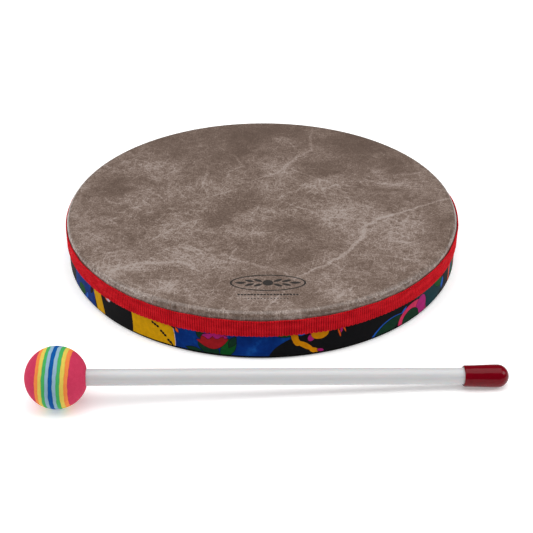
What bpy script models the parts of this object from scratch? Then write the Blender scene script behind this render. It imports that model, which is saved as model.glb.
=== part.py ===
"""A ten inch frame drum with a fixed head, lying head up beside its own foam-ball mallet.

Units are metres and +Z is up. The origin is on the floor, at the centre of the footprint of drum and mallet together.
The drum is a fibreboard hoop with a printed wrap, a film head glued over its rim, and a woven tape over the head's edge.
The mallet is a ball turned from bonded foam sheets, glued on a plastic tube whose other end wears a dipped vinyl cap.
"""

from math import asin, cos, degrees, pi, radians, sin, sqrt

import bpy
from mathutils import Matrix, Vector

GAP = 0.0003  # between pieces that touch on the real object
THIN_GAP = 0.0002  # between the bonded skins round the hoop, whose facets run parallel
MERGE = 0.00001

# Drum hoop
HOOP_RADIUS = 0.1263
HOOP_WALL = 0.0060
HOOP_HEIGHT = 0.0314
HOOP_CREST_ROUND = 0.0030  # outer rounding of the bearing edge
HOOP_CREST_FLAT = 0.0008
HOOP_FOOT_ROUND = 0.0010  # outer rounding of the foot
HOOP_FOOT_ROUND_INSIDE = 0.0008

# Skins round the hoop. The wrap and the head's skirt meet edge to edge under the tape.
WRAP_THICKNESS = 0.00075
WRAP_BOTTOM = 0.0025
WRAP_TOP = 0.0215
WRAP_SEAM = radians(0.3)  # the slit where the sheet's ends meet
GLUE_THICKNESS = 0.00025
GLUE_BOTTOM = 0.0226
GLUE_TOP = 0.0274
FILM = 0.0004
SKIRT_BOTTOM = 0.0218
HEAD_EDGE_ROUND = 0.0039  # outer rounding of the film where it turns down
TAPE_THICKNESS = 0.0008
TAPE_BOTTOM = 0.0166
TAPE_WIDTH = 0.0109
TAPE_LAP_STEPS = 2
TAPE_RAMP_STEPS = 3
SEAM_DIRECTION = radians(62.0)  # the wrap's seam and the tape's lap are at the back right

# Mallet
BALL_RADIUS = 0.0174
BORE_DEPTH_PAST_CENTRE = 0.0079
TUBE_RADIUS = 0.00476
TUBE_BORE = 0.0032
GLUE_PLUG = 0.0010
MALLET_REACH = 0.25215  # from the ball's centre to the cap's tip
CAP_LENGTH = 0.0259
CAP_LIP_RADIUS = 0.00605
CAP_TIP_RADIUS = 0.0065
CAP_FLOOR = 0.0030  # vinyl beyond the tube's end
CAP_LIP_ROUND = 0.0004

# Foam sheets either side of the middle one, each to this distance from the ball's centre
SHEETS = (("sky", 0.00305), ("green", 0.00496), ("yellow", 0.00705), ("orange", 0.0090))
MIDDLE_SHEET = 0.00115  # half the blue sheet's thickness
# The ball was bored a little off square to its sheets
LEAN_SIDE = radians(-6.2)
LEAN_UP = radians(-1.1)

# How the two lie
BALL_FROM_DRUM = Vector((-0.1124, -0.1666))
MALLET_YAW = radians(3.4)

DRUM_STEPS = 96
BALL_STEPS = 32
TUBE_STEPS = 24

WRAP_RADIUS = HOOP_RADIUS + GAP  # inner faces of the skins
GLUE_RADIUS = HOOP_RADIUS + THIN_GAP
SKIRT_RADIUS = GLUE_RADIUS + GLUE_THICKNESS + THIN_GAP
TAPE_RADIUS = SKIRT_RADIUS + FILM + THIN_GAP
TAPE_OUTSIDE = TAPE_RADIUS + TAPE_THICKNESS


def clear_scene():
    for obj in list(bpy.data.objects):
        bpy.data.objects.remove(obj)


def new_collection(name):
    collection = bpy.data.collections.new(name)
    bpy.context.scene.collection.children.link(collection)
    return collection


def new_material(name, colour, roughness):
    material = bpy.data.materials.new(name)
    material.use_nodes = True
    shader = material.node_tree.nodes["Principled BSDF"]
    shader.inputs["Base Color"].default_value = (*colour, 1.0)
    shader.inputs["Roughness"].default_value = roughness
    shader.inputs["Metallic"].default_value = 0.0
    return material


def new_empty(name, location, collection, parent=None, rotation=None):
    empty = bpy.data.objects.new(name, None)
    collection.objects.link(empty)
    empty.parent = parent
    empty.matrix_local = Matrix.Translation(location) @ (rotation or Matrix.Identity(4))
    return empty


def arc(centre, radius, start, end, steps):
    """Points (radius, height) along an arc, from start to end in degrees above the outward direction."""
    points = []
    for i in range(steps + 1):
        angle = radians(start + (end - start) * i / steps)
        points.append((centre[0] + radius * cos(angle), centre[1] + radius * sin(angle)))
    return points


def finish_object(obj, parent, material, collection):
    collection.objects.link(obj)
    obj.parent = parent
    obj.data.materials.append(material)
    return obj


def turned(name, outline, parent, material, collection, steps, closed=True, sweep=2 * pi):
    """A solid or sheet turned about its parent's Z axis from (radius, height) points, outer side first, top to bottom."""
    edges = [(i, i + 1) for i in range(len(outline) - 1)]
    if closed:
        edges.append((len(outline) - 1, 0))
    mesh = bpy.data.meshes.new(name)
    mesh.from_pydata([(radius, 0.0, height) for radius, height in outline], edges, [])
    obj = finish_object(bpy.data.objects.new(name, mesh), parent, material, collection)
    screw = obj.modifiers.new("Turn", "SCREW")
    screw.angle = sweep
    screw.steps = steps
    screw.render_steps = steps
    screw.use_smooth_shade = True
    screw.use_merge_vertices = sweep > 2 * pi - 0.0001
    screw.merge_threshold = MERGE
    return obj


def cut_by(obj, cutter):
    boolean = obj.modifiers.new("Bore", "BOOLEAN")
    boolean.operation = "DIFFERENCE"
    boolean.solver = "EXACT"
    boolean.object = cutter


def make_hoop(parent, material, collection):
    """The drum's frame, rounded outside at head and foot, with a bevel inside the bearing edge."""
    inner = HOOP_RADIUS - HOOP_WALL
    crest = HOOP_RADIUS - HOOP_CREST_ROUND
    crest_inner = crest - HOOP_CREST_FLAT
    outline = arc((crest, HOOP_HEIGHT - HOOP_CREST_ROUND), HOOP_CREST_ROUND, 90, 0, 4)
    outline += arc((HOOP_RADIUS - HOOP_FOOT_ROUND, HOOP_FOOT_ROUND), HOOP_FOOT_ROUND, 0, -90, 4)
    outline += arc((inner + HOOP_FOOT_ROUND_INSIDE, HOOP_FOOT_ROUND_INSIDE), HOOP_FOOT_ROUND_INSIDE, -90, -180, 2)
    outline += [(inner, HOOP_HEIGHT - (crest_inner - inner)), (crest_inner, HOOP_HEIGHT)]
    return turned("shell_hoop", outline, parent, material, collection, DRUM_STEPS)


def make_wrap(parent, material, collection):
    """The printed sheet round the hoop, butted at a seam."""
    line = [(WRAP_RADIUS, WRAP_TOP), (WRAP_RADIUS, WRAP_BOTTOM)]
    sweep = 2 * pi - WRAP_SEAM
    wrap = turned("printed_wrap", line, parent, material, collection, DRUM_STEPS, False, sweep)
    wrap.rotation_euler.z = WRAP_SEAM / 2
    thick = wrap.modifiers.new("Sheet", "SOLIDIFY")
    thick.thickness = WRAP_THICKNESS
    thick.offset = 1.0
    return wrap


def make_glue(parent, material, collection):
    """The band of adhesive that holds the head's skirt on the hoop."""
    outside = GLUE_RADIUS + GLUE_THICKNESS
    outline = [(outside, GLUE_TOP), (outside, GLUE_BOTTOM), (GLUE_RADIUS, GLUE_BOTTOM), (GLUE_RADIUS, GLUE_TOP)]
    return turned("head_adhesive", outline, parent, material, collection, DRUM_STEPS)


def make_head(parent, material, collection):
    """The film head: a flat disc turned down over the rim into a skirt."""
    top = HOOP_HEIGHT + GAP + FILM
    outside = SKIRT_RADIUS + FILM
    centre = (outside - HEAD_EDGE_ROUND, top - HEAD_EDGE_ROUND)
    outline = [(0.0, top)]
    outline += arc(centre, HEAD_EDGE_ROUND, 90, 0, 5)
    outline += [(outside, SKIRT_BOTTOM), (SKIRT_RADIUS, SKIRT_BOTTOM)]
    outline += arc(centre, HEAD_EDGE_ROUND - FILM, 0, 90, 5)
    outline += [(0.0, top - FILM)]
    return turned("head_film", outline, parent, material, collection, DRUM_STEPS, closed=False)


def make_tape(parent, material, collection):
    """The woven tape: a strip seen from above as a thin outline whose end laps over its start."""
    inner, outer = [], []
    for i in range(DRUM_STEPS + TAPE_LAP_STEPS + 1):
        angle = 2 * pi * (i - TAPE_LAP_STEPS / 2) / DRUM_STEPS
        rise = max(0.0, min(1.0, 1.0 + (i - DRUM_STEPS) / TAPE_RAMP_STEPS))
        radius = TAPE_RADIUS + (TAPE_THICKNESS + THIN_GAP) * rise
        inner.append((radius * cos(angle), radius * sin(angle)))
        outer.append(((radius + TAPE_THICKNESS) * cos(angle), (radius + TAPE_THICKNESS) * sin(angle)))
    outline = outer + inner[::-1]
    curve = bpy.data.curves.new("rim_tape", "CURVE")
    curve.dimensions = "2D"
    curve.fill_mode = "BOTH"
    curve.extrude = TAPE_WIDTH / 2
    spline = curve.splines.new("POLY")
    spline.points.add(len(outline) - 1)
    for point, (x, y) in zip(spline.points, outline):
        point.co = (x, y, 0.0, 1.0)
    spline.use_cyclic_u = True
    tape = finish_object(bpy.data.objects.new("rim_tape", curve), parent, material, collection)
    tape.location.z = TAPE_BOTTOM + TAPE_WIDTH / 2
    return tape


def make_drum(location, materials, collection):
    """The drum, whose own +X points at its seam."""
    drum = new_empty("drum", location, collection, rotation=Matrix.Rotation(SEAM_DIRECTION, 4, "Z"))
    make_hoop(drum, materials["fibreboard"], collection)
    make_wrap(drum, materials["print"], collection)
    make_glue(drum, materials["adhesive"], collection)
    make_head(drum, materials["film"], collection)
    make_tape(drum, materials["tape"], collection)


def sphere_slice(name, low, high, parent, material, collection):
    """The part of the ball between two heights, shrunk by half a gap at each flat face."""
    top = degrees(asin(min(1.0, (high - GAP / 2) / BALL_RADIUS))) if high < BALL_RADIUS else 90.0
    bottom = degrees(asin(max(-1.0, (low + GAP / 2) / BALL_RADIUS))) if low > -BALL_RADIUS else -90.0
    outline = arc((0.0, 0.0), BALL_RADIUS, top, bottom, max(2, round((top - bottom) / 8)))
    if high < BALL_RADIUS:
        outline.insert(0, (0.0, outline[0][1]))
    else:
        outline[0] = (0.0, BALL_RADIUS)
    if low > -BALL_RADIUS:
        outline.append((0.0, outline[-1][1]))
    else:
        outline[-1] = (0.0, -BALL_RADIUS)
    return turned(name, outline, parent, material, collection, BALL_STEPS, closed=False)


def bore_cutter(mallet, cutters):
    """The hole in the ball for the tube, from beyond the ball to past its centre."""
    depth = BORE_DEPTH_PAST_CENTRE + 2 * BALL_RADIUS
    bpy.ops.mesh.primitive_cylinder_add(vertices=TUBE_STEPS, radius=TUBE_RADIUS + GAP, depth=depth)
    cutter = bpy.context.object
    cutter.name = "bore_cutter"
    for collection in list(cutter.users_collection):
        collection.objects.unlink(cutter)
    cutters.objects.link(cutter)
    cutter.parent = mallet
    cutter.location.z = depth / 2 - BORE_DEPTH_PAST_CENTRE
    cutter.hide_render = True
    cutter.display_type = "WIRE"
    return cutter


def make_ball(mallet, materials, collection, cutters):
    """The ball's sheets from the far end to the tube's, each bored where the tube goes in."""
    lean = Matrix.Rotation(LEAN_SIDE, 4, "Y") @ Matrix.Rotation(LEAN_UP, 4, "X")
    block = new_empty("foam_block", (0.0, 0.0, 0.0), collection, mallet, lean)
    cutter = bore_cutter(mallet, cutters)
    slices = [("foam_blue_middle", "blue", -MIDDLE_SHEET, MIDDLE_SHEET)]
    inner = MIDDLE_SHEET
    for colour, edge in SHEETS:
        slices.append((f"foam_{colour}_near", colour, inner, edge))
        slices.append((f"foam_{colour}_far", colour, -edge, -inner))
        inner = edge
    slices.append(("foam_pink_near", "pink", inner, BALL_RADIUS))
    slices.append(("foam_pink_far", "pink", -BALL_RADIUS, -inner))
    for name, colour, low, high in slices:
        piece = sphere_slice(name, low, high, block, materials[colour], collection)
        if low > -BALL_RADIUS:
            cut_by(piece, cutter)


def make_tube(mallet, material, collection):
    start = -BORE_DEPTH_PAST_CENTRE + GLUE_PLUG + 2 * GAP
    end = MALLET_REACH - CAP_FLOOR - GAP
    outline = [(TUBE_RADIUS, end), (TUBE_RADIUS, start), (TUBE_BORE, start), (TUBE_BORE, end)]
    return turned("mallet_shaft", outline, mallet, material, collection, TUBE_STEPS)


def make_glue_plug(mallet, material, collection):
    """The disc of hot glue at the bottom of the ball's bore."""
    bottom = -BORE_DEPTH_PAST_CENTRE + GAP
    outline = [(0.0, bottom + GLUE_PLUG), (TUBE_RADIUS, bottom + GLUE_PLUG), (TUBE_RADIUS, bottom), (0.0, bottom)]
    return turned("ball_adhesive", outline, mallet, material, collection, TUBE_STEPS, closed=False)


def make_cap(mallet, material, collection):
    """The dipped vinyl cap, a little fatter towards its round end."""
    lip = MALLET_REACH - CAP_LENGTH
    inside = TUBE_RADIUS + GAP
    dome = MALLET_REACH - CAP_TIP_RADIUS
    outline = arc((0.0, dome), CAP_TIP_RADIUS, 90, 0, 8)
    outline[0] = (0.0, MALLET_REACH)
    lip_centre = (CAP_LIP_RADIUS - CAP_LIP_ROUND, lip + CAP_LIP_ROUND)
    outline += arc(lip_centre, CAP_LIP_ROUND, 0, -90, 2)
    floor = MALLET_REACH - CAP_FLOOR
    outline += [(inside, lip), (inside, floor), (0.0, floor)]
    return turned("end_cap", outline, mallet, material, collection, TUBE_STEPS, closed=False)


def mallet_direction():
    """Unit vector from the ball to the cap, with both resting on the floor."""
    fall = (BALL_RADIUS - CAP_TIP_RADIUS) / (MALLET_REACH - CAP_TIP_RADIUS)
    level = sqrt(1.0 - fall**2)
    return Vector((level * cos(MALLET_YAW), level * sin(MALLET_YAW), -fall))


def make_mallet(location, materials, collection, cutters):
    turn = mallet_direction().to_track_quat("Z", "Y").to_matrix().to_4x4()
    mallet = new_empty("mallet", (location.x, location.y, BALL_RADIUS), collection, rotation=turn)
    make_ball(mallet, materials, collection, cutters)
    make_tube(mallet, materials["white_plastic"], collection)
    make_glue_plug(mallet, materials["adhesive"], collection)
    make_cap(mallet, materials["vinyl"], collection)


def footprint_centre():
    """Middle of the footprint of drum and mallet, measured from the drum's centre."""
    tip = BALL_FROM_DRUM + MALLET_REACH * mallet_direction().xy
    low = Vector((min(-TAPE_OUTSIDE, BALL_FROM_DRUM.x - BALL_RADIUS), BALL_FROM_DRUM.y - BALL_RADIUS))
    high = Vector((max(TAPE_OUTSIDE, tip.x), TAPE_OUTSIDE))
    return (low + high) / 2


def make_materials():
    return {
        "fibreboard": new_material("fibreboard", (0.018, 0.016, 0.015), 0.75),
        "print": new_material("print", (0.012, 0.045, 0.20), 0.35),
        "adhesive": new_material("adhesive", (0.62, 0.55, 0.40), 0.45),
        "film": new_material("film", (0.235, 0.170, 0.140), 0.50),
        "tape": new_material("tape", (0.45, 0.010, 0.015), 0.70),
        "white_plastic": new_material("white_plastic", (0.78, 0.78, 0.78), 0.35),
        "vinyl": new_material("vinyl", (0.20, 0.001, 0.008), 0.15),
        "pink": new_material("pink", (0.62, 0.045, 0.105), 0.80),
        "orange": new_material("orange", (0.85, 0.25, 0.065), 0.80),
        "yellow": new_material("yellow", (0.76, 0.62, 0.085), 0.80),
        "green": new_material("green", (0.085, 0.46, 0.125), 0.80),
        "sky": new_material("sky", (0.28, 0.46, 0.58), 0.80),
        "blue": new_material("blue", (0.0, 0.105, 0.40), 0.80),
    }


def main():
    clear_scene()
    parts = new_collection("frame_drum")
    cutters = new_collection("cutters")
    materials = make_materials()
    drum_at = -footprint_centre()
    make_drum(Vector((drum_at.x, drum_at.y, 0.0)), materials, parts)
    make_mallet(drum_at + BALL_FROM_DRUM, materials, parts, cutters)


main()
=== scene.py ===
"""The looks of a ten inch frame drum and its foam-ball mallet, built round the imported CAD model.

Pieces are made in local frames, which the CAD boxes place. The drum's frame has its origin on the floor
under the drum's centre, and its +X side is the seam. The mallet's frame starts at the ball's centre and has
its Z along the rod. Profiles are lists of (radius, height) in metres.
"""

from itertools import groupby
from math import cos, pi, radians, sin, sqrt

import bpy
import numpy as np
from mathutils import Matrix, Vector


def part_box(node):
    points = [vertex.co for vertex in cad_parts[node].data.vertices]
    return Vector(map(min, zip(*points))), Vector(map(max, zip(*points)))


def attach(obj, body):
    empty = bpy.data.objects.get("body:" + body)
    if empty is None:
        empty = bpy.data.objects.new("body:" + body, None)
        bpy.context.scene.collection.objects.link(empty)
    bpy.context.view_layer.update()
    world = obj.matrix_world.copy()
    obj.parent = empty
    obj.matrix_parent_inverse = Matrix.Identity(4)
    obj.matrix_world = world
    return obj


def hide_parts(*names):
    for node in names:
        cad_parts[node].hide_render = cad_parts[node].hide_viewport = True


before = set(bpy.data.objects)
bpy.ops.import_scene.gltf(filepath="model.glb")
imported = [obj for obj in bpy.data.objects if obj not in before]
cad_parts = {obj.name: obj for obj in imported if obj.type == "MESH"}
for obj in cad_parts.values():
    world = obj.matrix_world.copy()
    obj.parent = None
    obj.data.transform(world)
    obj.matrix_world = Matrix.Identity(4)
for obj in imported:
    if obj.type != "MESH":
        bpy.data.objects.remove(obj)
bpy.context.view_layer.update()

MM = 0.001

# The CAD model's places and sizes
hoop_low, hoop_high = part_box("shell_hoop")
film_low, film_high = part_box("head_film")
wrap_low, wrap_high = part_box("printed_wrap")
tape_low, tape_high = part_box("rim_tape")
ball_low, ball_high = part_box("foam_blue_middle")
shaft_low, shaft_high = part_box("mallet_shaft")
cap_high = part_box("end_cap")[1]

SEAM_DIRECTION = radians(62.0)
DRUM_CENTRE = Vector(((hoop_low.x + hoop_high.x) / 2, (hoop_low.y + hoop_high.y) / 2, 0.0))
DRUM = Matrix.Translation(DRUM_CENTRE) @ Matrix.Rotation(SEAM_DIRECTION, 4, "Z")

GAP = 0.0003  # between pieces that touch on the real object
THIN_GAP = 0.0002  # between the bonded skins round the hoop
HOOP_RADIUS = 0.1263
HOOP_WALL = 0.0060
HOOP_HEIGHT = hoop_high.z
HOOP_CREST_ROUND = 0.0030
HOOP_CREST_FLAT = 0.0008
HOOP_FOOT_ROUND = 0.0010
HOOP_FOOT_ROUND_INSIDE = 0.0008
WRAP_THICKNESS = 0.00075
WRAP_RADIUS = HOOP_RADIUS + GAP + WRAP_THICKNESS  # its outer face
WRAP_SEAM = radians(0.3)
GLUE_THICKNESS = 0.00025
FILM = 0.0004
SKIRT_RADIUS = HOOP_RADIUS + GLUE_THICKNESS + FILM + 2 * THIN_GAP  # its outer face
HEAD_EDGE_ROUND = 0.0039
TAPE_RADIUS = SKIRT_RADIUS + THIN_GAP  # its inner face
TAPE_THICKNESS = 0.0008
TAPE_LAP = radians(7.5)
TAPE_RAMP = radians(11.25)

BALL_CENTRE = (ball_low + ball_high) / 2
BALL_RADIUS = (ball_high.z - ball_low.z) / 2
ROD_AXIS = ((shaft_low + shaft_high) / 2 - BALL_CENTRE).normalized()
ROD_RADIUS = 0.00476
ROD_BORE = 0.0032
ROD_START = -0.0063  # in the ball, past its centre
CAP_TIP = (cap_high.x - BALL_CENTRE.x) / ROD_AXIS.x
CAP_LENGTH = 0.0259
CAP_TIP_RADIUS = 0.0065
CAP_LIP_RADIUS = 0.00605
CAP_FLOOR = 0.0030
MALLET = Matrix.Translation(BALL_CENTRE) @ ROD_AXIS.to_track_quat("Z", "Y").to_matrix().to_4x4()
LEAN_SIDE = radians(-6.2)
LEAN_UP = radians(-1.1)
FOAM = MALLET @ Matrix.Rotation(LEAN_SIDE, 4, "Y") @ Matrix.Rotation(LEAN_UP, 4, "X")


# ---------------------------------------------------------------- meshes


def arc(centre, radius, start, end, steps):
    """Points (radius, height) along an arc, from start to end in degrees above the outward direction."""
    turns = np.radians(np.linspace(start, end, steps + 1))
    return [(centre[0] + radius * cos(t), centre[1] + radius * sin(t)) for t in turns]


def sweep(count, closed=True, start=0.0, end=2 * pi):
    """Evenly spread angles. closed leaves out the last one, where the ring meets its start."""
    return np.linspace(start, end, count, endpoint=not closed)


def ring_points(radius, height, angles):
    """Points at a radius and height for each angle. Both may change with the angle, or from row to row."""
    across = radius * np.cos(angles)
    return np.stack([across, radius * np.sin(angles), height + 0.0 * across], axis=-1)


def turned_grid(profile, angles):
    """Rows of points: each point of the profile (radius, height), turned through the angles."""
    profile = np.array(profile)
    return ring_points(profile[:, :1], profile[:, 1:2], angles)


def grid_object(name, points, place, closed=True, ring=False, poles=(False, False), uv=None, sharp=35.0):
    """A mesh from rows of points that run down its outer side. closed joins the last column to the first,
    ring joins the last row to the first, and a pole closes the first or last row to its middle. A ring that
    isn't closed gets flat ends."""
    rows, cols = points.shape[:2]
    index = np.arange(rows * cols).reshape(rows, cols)
    right = np.roll(index, -1, axis=1) if closed else index[:, 1:]
    left = index if closed else index[:, :-1]
    below = np.roll(np.arange(rows), -1) if ring else np.arange(1, rows)
    above = np.arange(rows) if ring else np.arange(rows - 1)
    quads = np.stack([left[above], left[below], right[below], right[above]], axis=-1).reshape(-1, 4)
    vertices = [tuple(p) for p in points.reshape(-1, 3)]
    faces = quads.tolist()
    if ring and not closed:
        faces.append(index[:, 0].tolist())
        faces.append(index[::-1, -1].tolist())
    for row, wanted in ((0, poles[0]), (rows - 1, poles[1])):
        if wanted:
            vertices.append(tuple(points[row].mean(axis=0)))
            middle = len(vertices) - 1
            a, b = index[row], np.roll(index[row], -1)
            order = (b, a) if row else (a, b)
            faces += [[middle, int(p), int(q)] for p, q in zip(*order)]
    turn = np.array(place.to_3x3())
    mesh = bpy.data.meshes.new(name)
    mesh.from_pydata((np.array(vertices) @ turn.T).tolist(), [], faces)
    if uv is not None:
        flat = uv.reshape(-1, 2)
        extra = np.zeros((len(vertices) - len(flat), 2))
        flat = np.concatenate([flat, extra])
        corners = np.zeros(len(mesh.loops), dtype=np.int32)
        mesh.loops.foreach_get("vertex_index", corners)
        layer = mesh.uv_layers.new(name="flat")
        layer.data.foreach_set("uv", flat[corners].ravel())
    mesh.shade_smooth()
    mesh.set_sharp_from_angle(angle=radians(sharp))
    obj = bpy.data.objects.new(name, mesh)
    obj.location = place.translation
    bpy.context.scene.collection.objects.link(obj)
    return obj


def finish_piece(obj, material, body, node=None):
    """Gives a piece its material and body, and hides the CAD node that it stands for if there is one."""
    obj.data.materials.append(material)
    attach(obj, body)
    if node:
        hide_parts(node)


def waves(angles, harmonics, amplitude, random):
    """A smooth random ripple round a ring, of about the given amplitude."""
    ripple = np.zeros_like(angles)
    for harmonic in harmonics:
        ripple += np.sin(harmonic * angles + random.uniform(0, 2 * pi))
    return ripple * amplitude / sqrt(len(harmonics))


def smooth(low, high, x):
    """0 below low and 1 above high, or the other way round, with a smooth step between."""
    t = np.clip((x - low) / (high - low), 0.0, 1.0)
    return t * t * (3 - 2 * t)


# ---------------------------------------------------------------- materials


def srgb(red, green, blue):
    """A colour as a shader takes it, from the 0 to 255 of a colour picker."""
    channels = [c / 255.0 for c in (red, green, blue)]
    linear = [c / 12.92 if c <= 0.04045 else ((c + 0.055) / 1.055) ** 2.4 for c in channels]
    return (*linear, 1.0)


class Graph:
    """Shorthand for a node tree. A value given to a node is a number, colour, vector or node's output."""

    def __init__(self, tree):
        self.tree = tree

    def put(self, socket, value):
        """Links a node's output to a socket, or sets the socket to a plain value."""
        if isinstance(value, bpy.types.NodeSocket):
            self.tree.links.new(value, socket)
        else:
            socket.default_value = value

    def node(self, kind, values=(), **settings):
        node = self.tree.nodes.new("ShaderNode" + kind)
        for name, value in settings.items():
            setattr(node, name, value)
        for key, value in dict(values).items():
            self.put(node.inputs[key], value)
        return node

    def math(self, operation, a, b=0.0):
        return self.node("Math", {0: a, 1: b}, operation=operation).outputs[0]

    def times(self, a, b):
        return self.math("MULTIPLY", a, b)

    def plus(self, a, b):
        return self.math("ADD", a, b)

    def minus(self, a, b):
        return self.math("SUBTRACT", a, b)

    def vector(self, operation, a, b=(0.0, 0.0, 0.0)):
        node = self.node("VectorMath", {0: a, 1: b}, operation=operation)
        return node.outputs["Value" if operation in ("DOT_PRODUCT", "LENGTH", "DISTANCE") else "Vector"]

    def scaled(self, vector, factor):
        return self.node("VectorMath", {0: vector, "Scale": factor}, operation="SCALE").outputs["Vector"]

    def noise(self, at, size, detail=2.0, roughness=0.5, colour=False):
        """Noise whose features are about size across, in the units of at. It averages 0.5."""
        values = {"Vector": at, "Scale": 1.0 / size, "Detail": detail, "Roughness": roughness}
        return self.node("TexNoise", values).outputs[1 if colour else 0]

    def step(self, value, low, high, bottom=0.0, top=1.0):
        values = {0: value, 1: low, 2: high, 3: bottom, 4: top}
        return self.node("MapRange", values, interpolation_type="SMOOTHSTEP", clamp=False).outputs[0]

    def mix(self, factor, a, b, blend="MIX"):
        values = {0: factor, 6: a, 7: b}
        return self.node("Mix", values, data_type="RGBA", blend_type=blend, clamp_factor=True).outputs[2]

    def group(self, group, *given):
        """The results of a node group for the given inputs."""
        node = self.node("Group", node_tree=group.tree)
        for socket, value in zip(node.inputs, given):
            self.put(socket, value)
        return node.outputs

    def ramp(self, value, *stops):
        node = self.node("ValToRGB", {0: value})
        elements = node.color_ramp.elements
        while len(elements) < len(stops):
            elements.new(0.5)
        for element, (position, colour) in zip(elements, stops):
            element.position = position
            element.color = colour
        return node.outputs[0]

    def place(self, at, turn, size):
        """at, turned by -turn about Z and measured in units of size."""
        values = {"Vector": at, "Rotation": (0.0, 0.0, turn), "Scale": size}
        return self.node("Mapping", values, vector_type="TEXTURE").outputs[0]

    def spread(self, at, size, reach, detail=2.0):
        """The point at, pushed about in its plane by up to half of reach each way."""
        push = self.vector("SUBTRACT", self.noise(at, size, detail, colour=True), (0.5, 0.5, 0.5))
        return self.vector("ADD", at, self.vector("MULTIPLY", push, (reach, reach, 0.0)))


class Group(Graph):
    """A node group. inputs are names with the kind of each socket, and every result is a Float."""

    def __init__(self, name, inputs, results):
        super().__init__(bpy.data.node_groups.new(name, "ShaderNodeTree"))
        for socket, kind in inputs.items():
            self.tree.interface.new_socket(socket, in_out="INPUT", socket_type="NodeSocket" + kind)
        for socket in results:
            self.tree.interface.new_socket(socket, in_out="OUTPUT", socket_type="NodeSocketFloat")
        self.given = self.tree.nodes.new("NodeGroupInput").outputs
        self.results = self.tree.nodes.new("NodeGroupOutput").inputs


class Material(Graph):
    """A material whose node coordinates are in millimetres."""

    def __init__(self, name, **uniform):
        self.material = bpy.data.materials.new(name)
        self.material.use_nodes = True
        super().__init__(self.material.node_tree)
        self.shader = self.tree.nodes["Principled BSDF"]
        for socket, value in uniform.items():
            self.set(socket.replace("_", " "), value)

    def set(self, socket, value):
        self.put(self.shader.inputs[socket], value)

    def object_mm(self):
        return self.scaled(self.node("TexCoord").outputs["Object"], 1000.0)

    def flat_mm(self):
        return self.scaled(self.node("UVMap", uv_map="flat").outputs[0], 1000.0)

    def relief(self, *layers):
        """Bump from (height, depth in metres) layers, the first one lowest."""
        normal = None
        for height, depth in layers:
            values = {"Height": height, "Distance": depth, "Strength": 1.0}
            if normal:
                values["Normal"] = normal
            normal = self.node("Bump", values).outputs[0]
        self.set("Normal", normal)


# Fibres in the skin, in sets: how many layers, their spacing along and across each fibre in mm, and how
# bright they are
FIBRE_SETS = (
    (4, 64.0, 3.0, 0.85),
    (6, 34.0, 1.8, 0.8),
    (6, 17.0, 1.15, 0.7),
)

# Long pale strands in the skin: half width in mm, brightness, and points (x, y) in mm from the drum's centre
STRANDS = (
    (1.6, 1.0, ((124, 8), (103, -4), (89, -12), (77, -19), (66, -29),
                (62, -42), (56, -56), (44, -69), (32, -80), (20, -90))),
    (1.1, 0.8, ((13, -104), (7, -113), (1, -124))),
    (1.8, 0.5, ((38, 118), (35, 99), (36, 81), (25, 69), (16, 54), (13, 42), (12, 29))),
    (1.1, 0.6, ((19, 60), (11, 47), (4, 41), (-6, 33))),
    (1.1, 0.6, ((22, 51), (37, 36), (50, 27), (66, 24))),
    (0.9, 0.6, ((-25, 45), (-13, 56), (-20, 72), (-33, 80))),
    (0.9, 0.5, ((-48, 63), (-38, 56), (-39, 29), (-38, 15))),
    (0.9, 0.6, ((-40, 9), (-28, 15), (-17, 21))),
    (1.4, 0.6, ((-71, -48), (-60, -35), (-50, -24), (-40, -18))),
    (1.1, 0.5, ((-49, -6), (-38, -7), (-36, -14))),
    (1.1, 0.6, ((-44, -29), (-38, -34), (-29, -38))),
    (1.2, 0.6, ((-19, -27), (-8, -37), (7, -35))),
    (0.9, 0.6, ((-3, -26), (-8, -37), (-5, -50))),
    (1.8, 0.7, ((-96, -82), (-74, -72), (-50, -70), (-37, -81))),
    (0.9, 0.6, ((-70, -70), (-60, -56), (-55, -53))),
    (1.2, 0.6, ((-15, -55), (-21, -67), (-7, -72), (12, -84), (20, -90))),
    (1.9, 0.6, ((-61, -103), (-55, -98), (-50, -96))),
    (1.1, 0.6, ((16, 3), (28, -6), (37, -15))),
    (0.9, 0.5, ((5, 2), (14, 12), (24, 20))),
    (1.6, 0.6, ((44, -110), (50, -104), (56, -98))),
    (1.2, 0.6, ((70, 36), (80, 30), (90, 28), (99, 30))),
    (1.1, 0.5, ((90, 41), (102, 43), (115, 46))),
    (0.9, 0.5, ((44, 33), (41, 20), (43, 7))),
    (1.2, 0.5, ((70, -44), (82, -48), (95, -49))),
    (1.2, 0.5, ((66, -62), (78, -64), (91, -68))),
    (1.2, 0.6, ((-105, 10), (-99, 4), (-91, 1))),
    (1.2, 0.6, ((-106, -56), (-97, -60), (-89, -59))),
    (0.9, 0.5, ((-91, 32), (-86, 42), (-78, 47))),
    (0.9, 0.5, ((-68, 40), (-60, 50), (-62, 62))),
    (0.9, 0.5, ((20, 92), (24, 80), (34, 66))),
)

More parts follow.
